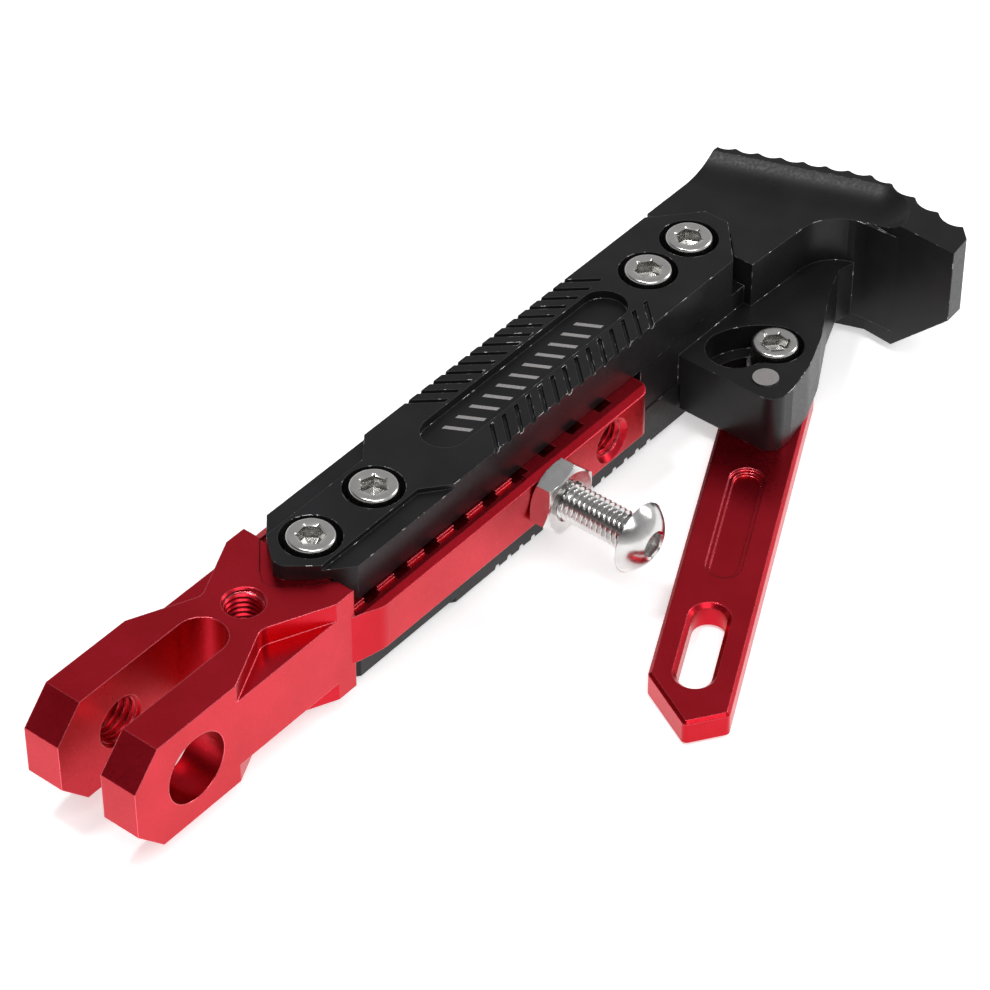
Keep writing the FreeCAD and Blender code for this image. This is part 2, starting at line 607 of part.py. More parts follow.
def make_foot():
    """Tongue between the covers, thick body, arm lobe and scalloped sole, one block."""
    body = new_body("foot_block")
    tongue = new_sketch(body, "XY_Plane")
    polygon(tongue, [("tongue_start", "-1*tongue_half"), ("body_start+9", "-1*tongue_half"),
                     ("body_start+9", "tongue_half"), ("tongue_start", "tongue_half")])
    pad(body, tongue, "2*bar_half_height+2*slide_gap", both=True)

    tread = [("tread_top_x", "body_half_width"), ("tread_x", "tread_y"),
             ("tread_x+6*tread_step_x", "tread_y-6*tread_step_y"),
             ("tread_knee_x", "-1*tread_knee_y"),
             ("tread_knee_x-3*toe_step_x", "-1*tread_knee_y-3*toe_step_y"),
             ("sole_end_x", "-1*sole_end_y"), ("sole_tip_x", "-1*sole_tip_y"),
             ("sole_wall_x", "-1*sole_wall_y")]
    plan = new_sketch(body, "XY_Plane")
    polygon(plan, [("body_start", "-1*near_start_y")] + [
        ("body_start", "body_half_width")] + tread + [("bay_x", "-1*bay_y")])
    made = pad(body, plan, "2*body_half_height", both=True)
    bay = [(value("bay_x"), -value("bay_y"))]
    fillet(body, made, edges_where(made, upright_at(bay)), "bay_round")

    rim = new_sketch(body, "XY_Plane")
    polygon(rim, [("blend_x-blend_radius", "body_half_width")] + tread +
            [("bay_x+1", "-1*bay_y-bay_round")])
    pad(body, rim, "sole_half_height")
    under = new_sketch(body, "XY_Plane", "-1*sole_half_height")
    polygon(under, [("blend_x-blend_radius", "body_half_width")] + tread +
            [("bay_x+1", "-1*bay_y-bay_round")])
    pad(body, under, "sole_half_height-body_half_height")

    # Scallops cut across the tread.
    scallops = new_sketch(body, "XY_Plane")
    for k in range(-1, 6):
        circle(scallops, "tread_x+%.1f*tread_step_x+scallop_out_x" % (k + 0.5),
               "tread_y-%.1f*tread_step_y+scallop_out_y" % (k + 0.5)
               if k >= 0 else "tread_y+0.5*tread_step_y+scallop_out_y", "scallop_radius")
        if k % 2:
            pocket(body, scallops, "3*sole_half_height", both=True)
            scallops = new_sketch(body, "XY_Plane")
    circle(scallops, "0.5*tread_x+3*tread_step_x+0.5*tread_knee_x+scallop_out_x",
           "0.5*tread_y-3*tread_step_y-0.5*tread_knee_y", "scallop_radius")
    pocket(body, scallops, "3*sole_half_height", both=True)
    for k in range(3):
        toe = new_sketch(body, "XY_Plane")
        circle(toe, "tread_knee_x-%.1f*toe_step_x+wide_out_x" % (k + 0.5),
               "-1*tread_knee_y-%.1f*toe_step_y-wide_out_y" % (k + 0.5),
               "wide_scallop_radius")
        pocket(body, toe, "3*sole_half_height", both=True)
    crests = [(value("tread_x+%d*tread_step_x" % k), value("tread_y-%d*tread_step_y" % k))
              for k in range(7)]
    crests += [(value("tread_knee_x-%d*toe_step_x" % k),
                -value("tread_knee_y+%d*toe_step_y" % k)) for k in range(3)]
    fillet(body, body.Tip, edges_where(body.Tip, upright_at(crests)), "crest_round")

    # The toe's lower corner is cut away at 45 degrees.
    corner = new_sketch(body, "YZ_Plane", "bay_x-bay_round")
    polygon(corner, [("-1*sole_drop_y", "-1*sole_half_height"),
                     ("-1*sole_drop_y-sole_drop", "-1*sole_half_height+sole_drop"),
                     ("-1*sole_drop_y-sole_drop", "-1*sole_half_height-1"),
                     ("-1*sole_drop_y", "-1*sole_half_height-1")])
    pocket(body, corner, "2*sole_half_height", back=True)

    # Lobe for the kick arm, kept clear of the lower cover's side.
    lobe = new_sketch(body, "XY_Plane", "-1*lobe_bottom")
    polygon(lobe, [("lobe_front", "-1*lobe_inner"), ("lobe_front", "-1*lobe_low"),
                   ("lobe_a_x", "-1*lobe_low"), ("lobe_b_x", "-1*lobe_b_y"),
                   ("lobe_c_x", "-1*lobe_c_y"), ("lobe_d_x", "-1*lobe_d_y"),
                   ("lobe_e_x", "-1*lobe_e_y"),
                   ("bay_x+1", "-1*lobe_e_y-1"), ("bay_x+1", "-1*lobe_inner")])
    made = pad(body, lobe, "lobe_bottom+lobe_top")
    spot = [(value("lobe_front"), -value("lobe_low"))]
    made = fillet(body, made, edges_where(made, upright_at(spot)), "lobe_round")
    bends = [(value("lobe_b_x"), -value("lobe_b_y")), (value("lobe_c_x"), -value("lobe_c_y"))]
    fillet(body, made, edges_where(made, upright_at(bends)), "lobe_side_round")
    side = new_sketch(body, "XY_Plane", "-1*bar_half_height-slide_gap")
    polygon(side, [("tongue_start-1", "-1*cover_half-end_gap"),
                   ("body_start", "-1*cover_half-end_gap"),
                   ("body_start", "cover_half"), ("tongue_start-1", "cover_half")])
    pocket(body, side, "sole_half_height")

    # V pockets that the far ends of the covers lie in.
    for flip in (False, True):
        level = "bar_half_height+slide_gap"
        level = level if not flip else "-1*bar_half_height-slide_gap"
        mouth = new_sketch(body, "XY_Plane", level)
        polygon(mouth, [("far_shoulder", "-1*cover_half-end_gap"),
                        ("far_shoulder+end_gap", "-1*cover_half-end_gap"),
                        ("cover_end+end_gap", "-1*cover_end_half-end_gap"),
                        ("cover_end+end_gap", "cover_end_half+end_gap"),
                        ("far_shoulder+end_gap", "cover_half+end_gap"),
                        ("far_shoulder", "cover_half+end_gap")])
        pocket(body, mouth, "sole_half_height", back=not flip)

    holes = new_sketch(body, "XY_Plane")
    circle(holes, "far_screw_a", "0", "six_radius+shank_gap")
    circle(holes, "far_screw_b", "0", "six_radius+shank_gap")
    circle(holes, "pin_x", "-1*pin_y", "pin_radius")
    pocket(body, holes, "4*sole_half_height", both=True)

    # Concave blend behind the raised rim, ending in a ball sweep.
    level = "body_half_height+blend_radius"
    ball = doc.addObject("Part::Sphere", "ball")
    bind(ball, "Radius", "blend_radius")
    place(ball, "blend_x", "-1*blend_y", level)
    turned = FreeCAD.Rotation(V(0, 0, 1), value("blend_turn"))
    sweep = rod("blend_radius", "blend_length", "blend_x", "-1*blend_y", level)
    sweep.Placement = FreeCAD.Placement(
        sweep.Placement.Base, turned.multiply(FreeCAD.Rotation(V(1, 0, 0), -90.0)))
    shelf = doc.addObject("Part::Box", "shelf")
    bind(shelf, "Length", "2*blend_radius")
    bind(shelf, "Width", "blend_length")
    bind(shelf, "Height", "blend_radius")
    place(shelf, "blend_x", "-1*blend_y", "body_half_height", turn=value("blend_turn"))
    shelf.setExpression("Placement.Base.x",
                        formula("blend_x-2*blend_radius") + "*cos(Sizes.blend_turn*1deg)")
    shelf.setExpression("Placement.Base.y",
                        "-Sizes.blend_y-2*Sizes.blend_radius*sin(Sizes.blend_turn*1deg)")
    tools = [ball, sweep, shelf]
    tools.append(swept_slot("kidney_radius", "lock_head_top-six_head_height-washer_thick-seat_gap",
                            "2*sole_half_height"))
    tools.append(swept_slot("six_radius+shank_gap", "-2*sole_half_height", "4*sole_half_height"))
    return node(cut(body, fuse(tools)), "foot")


make_foot()


# ------------------------------------------------------------------------- kick arm
def make_arm():
    """Flat arm drawn about its own pin, with its length along the first axis."""
    body = new_body("kick_arm")
    plan = new_sketch(body, "XY_Plane", "-1*arm_thick")
    left = -value("arm_left")
    right = value("arm_right")
    rear = value("arm_rear")
    low = V(-(rear ** 2 - left ** 2) ** 0.5, left, 0)
    high = V(-(rear ** 2 - right ** 2) ** 0.5, right, 0)
    points = [low, V(value("arm_knee"), left, 0),
              V(value("arm_tip"), value("arm_tip_off"), 0),
              V(value("arm_corner"), right, 0), high]
    for k in range(4):
        plan.addGeometry(Part.LineSegment(points[k], points[k + 1]), False)
    arc = plan.addGeometry(Part.Arc(high, V(-rear, 0, 0), low), False)
    for k in range(3):
        plan.addConstraint(Sketcher.Constraint("Coincident", k, 2, k + 1, 1))
    arc_first = 1 if plan.Geometry[arc].StartPoint.distanceToPoint(high) < 0.01 else 2
    plan.addConstraint(Sketcher.Constraint("Coincident", 3, 2, arc, arc_first))
    plan.addConstraint(Sketcher.Constraint("Coincident", 0, 1, arc, 3 - arc_first))
    pin_point(plan, arc, 3, "0", "0")
    number = plan.addConstraint(Sketcher.Constraint("Radius", arc, rear))
    bind(plan, "Constraints[%d]" % number, "arm_rear")
    for geo, end, text in ((0, 1, "-1*arm_left"), (3, 2, "arm_right")):
        number = plan.addConstraint(
            Sketcher.Constraint("DistanceY", -1, 1, geo, end, value(text)))
        bind(plan, "Constraints[%d]" % number, text)
    pin_point(plan, 1, 1, "arm_knee", "-1*arm_left")
    pin_point(plan, 2, 1, "arm_tip", "arm_tip_off")
    pin_point(plan, 3, 1, "arm_corner", "arm_right")
    made = pad(body, plan, "arm_thick")
    tips = [(value("arm_knee"), left), (value("arm_tip"), value("arm_tip_off")),
            (value("arm_corner"), right)]
    made = fillet(body, made, edges_where(made, upright_at(tips)), "arm_round")
    flat = [name for name in edges_where(made, lambda e: e.BoundBox.ZLength < 0.01)]
    chamfer(body, made, flat, "arm_bevel")

    rim = new_sketch(body, "XY_Plane", "-1*groove_rim_depth")
    obround(rim, "groove_start+groove_half", "groove_stop-groove_half",
            "-1*groove_middle", "groove_half")
    pocket(body, rim, "arm_thick", back=True)
    well = new_sketch(body, "XY_Plane", "-1*groove_depth")
    obround(well, "groove_start+groove_half", "groove_stop-groove_half",
            "-1*groove_middle", "groove_half-groove_rim")
    pocket(body, well, "arm_thick", back=True)
    slot = new_sketch(body, "XY_Plane")
    obround(slot, "arm_slot_start+arm_slot_half", "arm_slot_stop-arm_slot_half",
            "-1*groove_middle", "arm_slot_half")
    pocket(body, slot, "3*arm_thick", both=True)
    lips = edges_where(body.Tip, lambda e: e.BoundBox.ZLength < 0.01 and
                       e.BoundBox.Center.x > value("arm_slot_start") - 0.1 and
                       abs(e.BoundBox.Center.y + value("groove_middle")) <
                       value("arm_slot_half") + 0.1 and
                       e.BoundBox.XMax < value("arm_slot_stop") + 0.1)
    chamfer(body, body.Tip, lips, "groove_rim")
    holes = new_sketch(body, "XY_Plane")
    circle(holes, "0", "0", "pin_radius+pin_gap")
    circle(holes, "-1*lock_offset", "0", "six_radius+thread_gap")
    pocket(body, holes, "3*arm_thick", both=True)
    seat = new_sketch(body, "XY_Plane", "pin_seat-arm_thick")
    circle(seat, "0", "0", "pin_head_radius+pin_seat_gap")
    pocket(body, seat, "arm_thick")
    place(body, "pin_x", "-1*pin_y", "-1*lobe_bottom-arm_gap", turn=180 + value("arm_angle"))
    bind(body, "Placement.Rotation.Angle", "180+arm_angle")
    return node(body, "kick_arm")


make_arm()


# ------------------------------------------------------------------------ fasteners
def place_at_lock(thing, up):
    """Where the lock screw stands at rest."""
    place(thing, "0", "0", up)
    thing.setExpression("Placement.Base.x",
                        formula("pin_x+lock_offset") + "*cos(Sizes.arm_angle*1deg)")
    thing.setExpression("Placement.Base.y",
                        "-Sizes.pin_y+Sizes.lock_offset*sin(Sizes.arm_angle*1deg)")


def cap_screw(length):
    """M6 socket screw, head underside at zero and shank pointing down."""
    head = rod("six_head_radius", "six_head_height")
    shank = rod("six_radius", length, "0", "0", "-1*" + length)
    socket = hexagon("six_socket_flats", "2*six_socket_depth",
                     "six_head_height-six_socket_depth")
    return cut(fuse([head, shank]), socket)


def washer():
    ring = rod("washer_radius", "washer_thick")
    hole = rod("six_radius+washer_gap", "3*washer_thick", "0", "0", "-1*washer_thick")
    return cut(ring, hole)


def hex_nut(flats, height, bevel, bore):
    """Six-sided nut with both faces turned down at the corners."""
    prism = hexagon(flats, height)
    waist = rod("corner_share*" + flats, height + "-2*" + bevel, "0", "0", bevel)
    low = taper("0.5*" + flats, "corner_share*" + flats, bevel)
    high = taper("corner_share*" + flats, "0.5*" + flats, bevel, "0", "0", height + "-" + bevel)
    hole = rod(bore, "3*" + height, "0", "0", "-1*" + height)
    return cut(common([prism, fuse([low, waist, high])]), hole)


# Pin, with its head let into the arm's underside.
shaft = rod("pin_radius", "pin_top+lobe_bottom+arm_gap+arm_thick-pin_seat",
            "pin_x", "-1*pin_y", "pin_seat-lobe_bottom-arm_gap-arm_thick")
button = rod("pin_head_radius", "pin_head_height",
             "pin_x", "-1*pin_y", "pin_seat-pin_head_height-lobe_bottom-arm_gap-arm_thick")
node(fuse([shaft, button]), "arm_pivot_pin")

lock = cap_screw("lock_length")
place_at_lock(lock, "lock_head_top-six_head_height")
node(lock, "arm_lock_screw")
lock_ring = washer()
place_at_lock(lock_ring, "lock_head_top-six_head_height-washer_thick")
node(lock_ring, "arm_lock_washer")

for count, spot in enumerate(("near_screw_a", "near_screw_b", "far_screw_a", "far_screw_b")):
    screw = cap_screw("six_length")
    place(screw, spot, "0", "six_head_top-six_head_height")
    node(screw, "cover_screw_%d" % (count + 1))
    ring = washer()
    place(ring, spot, "0", "six_head_top-six_head_height-washer_thick")
    node(ring, "cover_washer_%d" % (count + 1))
    nut = hex_nut("six_nut_flats", "six_nut_height", "nut_bevel", "six_radius+thread_gap")
    place(nut, spot, "0", "washer_thick+six_head_height-six_head_top-six_nut_height")
    node(nut, "cover_nut_%d" % (count + 1))

# Button-head stop screw, standing out of the bar's near side.
crown = rod("stop_head_radius", "stop_head_height", "0", "0", "stop_length")
dome = doc.addObject("Part::Sphere", "dome")
bind(dome, "Radius", "stop_dome_radius")
place(dome, "0", "0", "stop_length+stop_head_height-stop_dome_radius")
stem = rod("thread_eight_radius", "stop_length")
socket = hexagon("stop_socket_flats", "2*stop_socket_depth",
                 "stop_length+stop_head_height-stop_socket_depth")
stop = cut(fuse([common([crown, dome]), stem]), socket)
place(stop, "stop_hole_x", "stop_length-bar_half_width-stop_stand", "0", V(1, 0, 0), 90.0)
node(stop, "stop_screw")

stop_nut = hex_nut("stop_nut_flats", "stop_nut_height", "stop_nut_bevel",
                   "thread_eight_radius+thread_gap")
place(stop_nut, "stop_hole_x", "-1*bar_half_width-seat_gap", "0")
laid = FreeCAD.Rotation(V(1, 0, 0), 90.0)
stop_nut.Placement = FreeCAD.Placement(
    stop_nut.Placement.Base, laid.multiply(FreeCAD.Rotation(V(0, 0, 1), value("stop_nut_turn"))))
node(stop_nut, "stop_lock_nut")

# --------------------------------------------------------------------------- output
doc.recompute()
for thing in doc.Objects:
    if "Invalid" in thing.State or "Error" in thing.State:
        raise RuntimeError("%s (%s) failed to build" % (thing.Label, thing.Name))
for thing in NODES:
    shape = thing.Shape
    if shape.isNull() or not shape.isValid():
        raise RuntimeError("%s has no sound shape" % thing.Label)
    if len(shape.Solids) != 1:
        raise RuntimeError("%s has %d solids" % (thing.Label, len(shape.Solids)))
os.makedirs("parts", exist_ok=True)
for thing in NODES:
    thing.Shape.exportStep("parts/%s.step" % thing.Label)
    box = thing.Shape.BoundBox
    print("%-16s %9.1f  x %7.2f %7.2f  y %7.2f %7.2f  z %7.2f %7.2f" % (
        thing.Label, thing.Shape.Volume, box.XMin, box.XMax, box.YMin, box.YMax,
        box.ZMin, box.ZMax))
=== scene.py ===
import json
import math
import bpy
import numpy as np
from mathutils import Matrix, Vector


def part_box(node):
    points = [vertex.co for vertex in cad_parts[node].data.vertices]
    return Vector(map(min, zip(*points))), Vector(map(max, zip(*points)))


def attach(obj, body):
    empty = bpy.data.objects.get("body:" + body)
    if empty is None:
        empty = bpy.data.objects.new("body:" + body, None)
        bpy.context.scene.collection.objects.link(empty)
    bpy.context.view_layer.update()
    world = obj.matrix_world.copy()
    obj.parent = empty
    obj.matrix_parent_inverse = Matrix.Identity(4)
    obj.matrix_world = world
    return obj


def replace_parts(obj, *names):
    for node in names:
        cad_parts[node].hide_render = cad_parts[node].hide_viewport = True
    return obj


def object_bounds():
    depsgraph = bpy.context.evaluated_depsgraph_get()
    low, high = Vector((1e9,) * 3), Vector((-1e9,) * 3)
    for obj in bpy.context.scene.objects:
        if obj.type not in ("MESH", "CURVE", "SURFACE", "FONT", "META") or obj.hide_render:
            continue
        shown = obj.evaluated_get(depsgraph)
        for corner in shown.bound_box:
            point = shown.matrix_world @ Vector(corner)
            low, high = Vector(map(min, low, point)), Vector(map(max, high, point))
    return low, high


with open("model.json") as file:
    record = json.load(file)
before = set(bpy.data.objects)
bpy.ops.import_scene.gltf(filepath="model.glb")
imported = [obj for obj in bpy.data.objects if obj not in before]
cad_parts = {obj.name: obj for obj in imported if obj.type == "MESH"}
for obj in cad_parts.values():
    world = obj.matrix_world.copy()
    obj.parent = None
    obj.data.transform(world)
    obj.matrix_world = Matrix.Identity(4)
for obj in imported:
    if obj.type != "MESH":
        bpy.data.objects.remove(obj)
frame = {"nodes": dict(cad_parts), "record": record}
cad_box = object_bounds()


# ---- Rack bar ------------------------------------------------------------------
# Fork, waisted neck and rack are one bar of 6000-series aluminium, milled, bead
# blasted and dyed red in the anodising bath. Sharp edges get a painted pink highlight.
MM = 0.001


def start_finish(name):
    """An empty material with a Principled shader, returned with its node tree."""
    finish = bpy.data.materials.new(name)
    finish.use_nodes = True
    tree = finish.node_tree
    tree.nodes.clear()
    out = tree.nodes.new("ShaderNodeOutputMaterial")
    shader = tree.nodes.new("ShaderNodeBsdfPrincipled")
    tree.links.new(shader.outputs["BSDF"], out.inputs["Surface"])
    return finish, tree, shader


def math_node(tree, operation, *values, clamp=False):
    """One Math node; a value is a number or another node's output."""
    node = tree.nodes.new("ShaderNodeMath")
    node.operation = operation
    node.use_clamp = clamp
    for socket, given in zip(node.inputs, values):
        if isinstance(given, (int, float)):
            socket.default_value = given
        else:
            tree.links.new(given, socket)
    return node.outputs[0]


def rescale(tree, given, low, high, to_low=0.0, to_high=1.0):
    """A Map Range node: low to high of the given value become to_low to to_high."""
    node = tree.nodes.new("ShaderNodeMapRange")
    tree.links.new(given, node.inputs["Value"])
    for socket, number in zip(("From Min", "From Max", "To Min", "To Max"),
                              (low, high, to_low, to_high)):
        node.inputs[socket].default_value = number
    return node.outputs["Result"]


def mix_colour(tree, share, first, second):
    """A Mix node of two colours, each a triple or another node's output."""
    node = tree.nodes.new("ShaderNodeMix")
    node.data_type = "RGBA"
    tree.links.new(share, node.inputs[0])
    for socket, given in ((node.inputs[6], first), (node.inputs[7], second)):
        if isinstance(given, tuple):
            socket.default_value = (*given, 1.0)
        else:
            tree.links.new(given, socket)
    return node.outputs[2]


def object_place(tree):
    """Each point's place in the object's own metres."""
    return tree.nodes.new("ShaderNodeTexCoord").outputs["Object"]


def grain(tree, place, per_metre, detail=3.0):
    """A noise texture with so many grains to the metre."""
    node = tree.nodes.new("ShaderNodeTexNoise")
    node.inputs["Scale"].default_value = per_metre
    node.inputs["Detail"].default_value = detail
    tree.links.new(place, node.inputs["Vector"])
    return node.outputs["Fac"]


def edge_share(tree, width, low=0.02, high=0.16):
    """How near a sharp edge the point is, and the rounded normal there. The share
    is one less the cosine between the true normal and the rounded one."""
    soft = tree.nodes.new("ShaderNodeBevel")
    soft.samples = 6
    soft.inputs["Radius"].default_value = width
    true = tree.nodes.new("ShaderNodeNewGeometry")
    dot = tree.nodes.new("ShaderNodeVectorMath")
    dot.operation = "DOT_PRODUCT"
    tree.links.new(soft.outputs[0], dot.inputs[0])
    tree.links.new(true.outputs["Normal"], dot.inputs[1])
    turned = math_node(tree, "SUBTRACT", 1.0, dot.outputs["Value"])
    return rescale(tree, turned, low, high), soft.outputs[0]


def blasted_bump(tree, place, normal, strength):
    """Fine bead-blast dimples laid over an already rounded normal."""
    dimples_per_metre, dimple_depth = 7000.0, 0.02 * MM
    bump = tree.nodes.new("ShaderNodeBump")
    bump.inputs["Strength"].default_value = strength
    bump.inputs["Distance"].default_value = dimple_depth
    tree.links.new(grain(tree, place, dimples_per_metre, 2.0), bump.inputs["Height"])
    tree.links.new(normal, bump.inputs["Normal"])
    return bump.outputs["Normal"]


def red_anodised():
    """Dyed film over metal, a little cloudy; every edge smoother and painted paler pink, a
    painted highlight.
    """
    deep_red, clear_red, painted_edge_highlight_pink = (0.47, 0.006, 0.016), (0.54, 0.010, 0.024), (0.9, 0.16, 0.2)
    edge_width, smoothest, roughest, edge_polish = 0.35 * MM, 0.27, 0.38, 0.08
    finish, tree, shader = start_finish("red_anodised")
    place = object_place(tree)
    cloud = rescale(tree, grain(tree, place, 70.0), 0.35, 0.65)
    edge, normal = edge_share(tree, edge_width)
    body = mix_colour(tree, cloud, deep_red, clear_red)
    # Each edge is mixed towards pale pink: a painted highlight along the edges.
    tree.links.new(mix_colour(tree, edge, body, painted_edge_highlight_pink), shader.inputs["Base Color"])
    speck = rescale(tree, grain(tree, place, 1800.0), 0.3, 0.7, smoothest, roughest)
    polish = math_node(tree, "MULTIPLY", edge, edge_polish)
    tree.links.new(math_node(tree, "SUBTRACT", speck, polish), shader.inputs["Roughness"])
    tree.links.new(blasted_bump(tree, place, normal, 0.35), shader.inputs["Normal"])
    shader.inputs["Metallic"].default_value = 1.0
    shader.inputs["Coat Weight"].default_value = 0.12
    shader.inputs["Coat Roughness"].default_value = 0.3
    return finish


def dress(node, finish):
    """Gives a node of the frame its finish in every material slot."""
    mesh = frame["nodes"][node].data
    if not mesh.materials:
        mesh.materials.append(finish)
    for k in range(len(mesh.materials)):
        mesh.materials[k] = finish


RED = red_anodised()
dress("clevis_rack_bar", RED)


# ---- Tapped holes --------------------------------------------------------------
# The neck, the bar's side and the far ear are tapped before anodising, so the
# thread's crests show as fine bright rings inside red walls.
M8_PITCH, M10_PITCH = 1.25 * MM, 1.5 * MM


def triangle_thread(turns):
    """Sixty-degree thread form against turns: 0 on the flat crest, rising straight
    to 1 on the flat root, and back, once in each turn."""
    flat = 0.12
    wave = np.abs((turns % 1.0) * 2.0 - 1.0)
    return np.clip((wave - flat) / (1.0 - 2.0 * flat), 0.0, 1.0)


def lay_rings(name, rings, body, finish, close=False, sharp=32.0):
    """A closed skin from rings of points: rings run along the surface, points run
    round it. Ends close on one point each, or the last ring joins the first."""
    count, around = rings.shape[:2]
    here = np.arange(count * around).reshape(count, around)
    low = here if close else here[:-1]
    high = np.roll(here, -1, axis=0) if close else here[1:]
    quads = np.stack([low, np.roll(low, -1, 1), np.roll(high, -1, 1), high], -1).reshape(-1, 4)
    points = rings.reshape(-1, 3)
    corners = [quads]
    if not close:
        points = np.vstack([points, rings[0].mean(0), rings[-1].mean(0)])
        first, last = count * around, count * around + 1
        ring = here[0]
        corners.append(np.stack([np.roll(ring, -1), ring, np.full(around, first)], -1))
        ring = here[-1]
        corners.append(np.stack([ring, np.roll(ring, -1), np.full(around, last)], -1))
    volume = 0.0
    for faces in corners:
        a = points[faces[:, 0]]
        for k in range(1, faces.shape[1] - 1):
            b, c = points[faces[:, k]], points[faces[:, k + 1]]
            volume += np.einsum("ij,ij->", a, np.cross(b, c))
    if volume < 0.0:
        corners = [faces[:, ::-1] for faces in corners]
    mesh = bpy.data.meshes.new(name)
    mesh.from_pydata(points.tolist(), [], [f for faces in corners for f in faces.tolist()])
    mesh.polygons.foreach_set("use_smooth", np.ones(len(mesh.polygons), bool))
    mesh.set_sharp_from_angle(angle=math.radians(sharp))
    mesh.materials.append(finish)
    piece = bpy.data.objects.new(name, mesh)
    bpy.context.scene.collection.objects.link(piece)
    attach(piece, body)
    return piece


def stand_on(rings, centre, axis):
    """Turns rings drawn about +Z to stand along +Z or along -Y, then moves them."""
    if axis == "-y":
        rings = np.stack([rings[..., 0], -rings[..., 2], rings[..., 1]], -1)
    return rings + np.array(centre)


def tapped_wall(name, centre, axis, start, stop, radius, pitch):
    """Thread inside a hole: an outer skin hard by the wall, and an inner skin whose
    radius falls by the thread's depth times the thread form along the helix."""
    inner_gap, outer_gap, thread_depth, run_out = 0.02 * MM, 0.008 * MM, 0.5 * pitch, 0.8 * pitch
    angle = np.linspace(0.0, 2.0 * math.pi, 72, endpoint=False)
    along = np.linspace(start, stop, int((stop - start) / pitch * 10) + 1)
    form = triangle_thread(along[:, None] / pitch - angle[None, :] / (2.0 * math.pi))
    ends = np.clip(np.minimum(along - start, stop - along) / run_out, 0.0, 1.0)
    inner = radius - inner_gap - thread_depth * (1.0 - form) * ends[:, None]
    outer = np.full((2, len(angle)), radius - outer_gap)
    reach = np.vstack([inner, outer])
    height = np.concatenate([along, [stop, start]])[:, None] + 0.0 * angle[None, :]
    rings = np.stack([reach * np.cos(angle), reach * np.sin(angle), height], -1)
    return lay_rings(name, stand_on(rings, centre, axis), "rack_bar",
                     RED, close=True, sharp=50.0)


mounts = {m["name"]: m for m in frame["record"]["mounts"]}


def mount_radius(name):
    """A tapped hole's radius in metres, as the record gives it."""
    return mounts[name]["dims"]["r_mm"] * MM


neck_reach = 11.7 * MM
spring_x = mounts["spring_hole"]["pos_m"][0]
tapped_wall("spring_hole_thread", (spring_x, 0.0, 0.0), "z", -neck_reach, neck_reach,
            mount_radius("spring_hole"), M8_PITCH)
spare_bottom, spare_mouth = 4.8 * MM, 15.3 * MM
spare_x = mounts["spare_hole"]["pos_m"][0]
tapped_wall("spare_hole_thread", (spare_x, 0.0, 0.0), "-y", spare_bottom, spare_mouth,
            mount_radius("spare_hole"), M8_PITCH)
ear_outside, ear_inside = -13.6 * MM, -6.1 * MM
tapped_wall("pivot_thread_wall", (0.0, 0.0, 0.0), "-y", ear_outside, ear_inside,
            mount_radius("pivot_thread"), M10_PITCH)


# ---- Foot and cover plates -----------------------------------------------------
# The foot is one milled block; the two plates are milled with a trough and slanting
# ribs. All three are bead blasted and anodised black, their corners rub through to
# bare metal, and the upper trough carries a row of slanting engraved marks.

def black_anodised(name, marks):
    """Black film with bare chips along its edges and a painted paler-grey highlight on every
    edge; marks adds the engraved row.
    """
    deep_black, dull_black = (0.006, 0.006, 0.0065), (0.010, 0.010, 0.011)
    painted_edge_highlight_grey, bare_metal, edge_width = (0.035, 0.035, 0.038), (0.62, 0.60, 0.59), 0.3 * MM
    finish, tree, shader = start_finish(name)
    place = object_place(tree)
    cloud = rescale(tree, grain(tree, place, 90.0), 0.35, 0.65)
    colour = mix_colour(tree, cloud, deep_black, dull_black)
    edge, normal = edge_share(tree, edge_width, 0.03, 0.2)
    # Each edge is mixed towards a paler grey: a painted highlight along the edges; the bare
    # chips below are edge wear.
    colour = mix_colour(tree, edge, colour, painted_edge_highlight_grey)
    chips = rescale(tree, grain(tree, place, 420.0, 4.0), 0.57, 0.61)
    bare = math_node(tree, "MULTIPLY", edge, chips, clamp=True)
    if marks:
        lean, mark_pitch, mark_share, half_width = 0.55, 4.2 * MM, 0.26, 2.5 * MM
        row_start, row_end, floor_low, floor_high = 91.5 * MM, 136.5 * MM, 13.0 * MM, 14.0 * MM
        split = tree.nodes.new("ShaderNodeSeparateXYZ")
        tree.links.new(place, split.inputs[0])
        x, y, z = split.outputs
        slant = math_node(tree, "ADD", x, math_node(tree, "MULTIPLY", y, lean))
        wave = math_node(tree, "FRACT", math_node(tree, "DIVIDE", slant, mark_pitch))
        cut = math_node(tree, "LESS_THAN", wave, mark_share)
        tests = (("LESS_THAN", math_node(tree, "ABSOLUTE", y), half_width),
                 ("GREATER_THAN", slant, row_start), ("LESS_THAN", slant, row_end),
                 ("LESS_THAN", z, floor_high), ("GREATER_THAN", z, floor_low))
        for operation, given, limit in tests:
            cut = math_node(tree, "MULTIPLY", cut, math_node(tree, operation, given, limit))
        scratch = rescale(tree, grain(tree, place, 2600.0), 0.3, 0.6, 0.55, 1.0)
        bare = math_node(tree, "MAXIMUM", bare, math_node(tree, "MULTIPLY", cut, scratch))
    tree.links.new(mix_colour(tree, bare, colour, bare_metal), shader.inputs["Base Color"])
    tree.links.new(bare, shader.inputs["Metallic"])
    shader.inputs["Specular IOR Level"].default_value = 0.24
    tree.links.new(rescale(tree, grain(tree, place, 1500.0), 0.3, 0.7, 0.3, 0.42),
                   shader.inputs["Roughness"])
    tree.links.new(blasted_bump(tree, place, normal, 0.4), shader.inputs["Normal"])
    return finish


dress("upper_cover", black_anodised("black_anodised_marked", True))
BLACK = black_anodised("black_anodised", False)
dress("lower_cover", BLACK)
dress("foot", BLACK)


